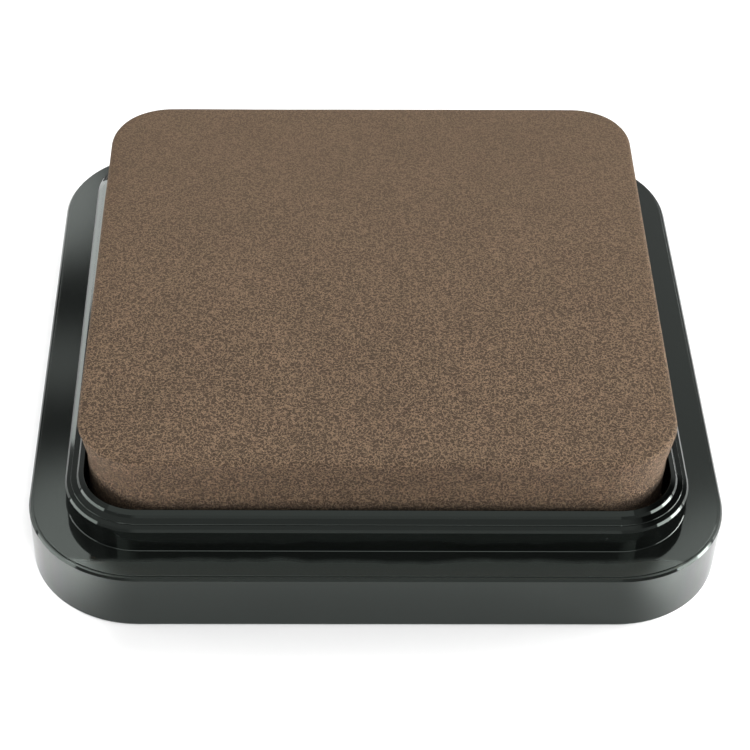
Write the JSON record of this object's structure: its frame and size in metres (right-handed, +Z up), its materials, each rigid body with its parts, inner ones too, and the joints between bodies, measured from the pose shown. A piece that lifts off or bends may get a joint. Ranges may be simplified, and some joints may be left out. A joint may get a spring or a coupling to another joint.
{
  "type": "ink pad",
  "caption": "Square ink pad with its lid off: a black moulded base with a raised collar, a drop-in tray and a thick brown foam pad for inking stamps.",
  "frame": {"origin": "on the table, under the centre of the base", "axes": "+Z up through the pad; -Y towards the front side; X along the front side"},
  "size_m": [0.0762, 0.0762, 0.0188],
  "materials": {
    "case_plastic": "glossy black with fine satin grain on the flange",
    "tray_plastic": "glossy black",
    "ink_foam": "fine-pored matt foam, inked brown",
    "ink_felt": "felt soaked with brown ink",
    "tape_film": "double-sided film",
    "bond_web": "porous adhesive web",
    "label_paper": "blank matt label"
  },
  "bodies": {
    "base": {"base_shell": "case_plastic", "bottom_label": "label_paper"},
    "tray": {"pad_tray": "tray_plastic", "felt_tape": "tape_film", "reservoir_felt": "ink_felt"},
    "pad": {"pad_bond": "bond_web", "foam_pad": "ink_foam"}
  },
  "joints": [
    {"name": "tray_lift", "type": "slide", "parent": "base", "child": "tray", "axis": [0, 0, 1], "range_m": [0, 0.012]},
    {"name": "pad_press", "type": "slide", "parent": "tray", "child": "pad", "axis": [0, 0, -1], "range_m": [0, 0.0015], "stiffness_N_per_m": 6000, "deforming": ["reservoir_felt"]}
  ]
}
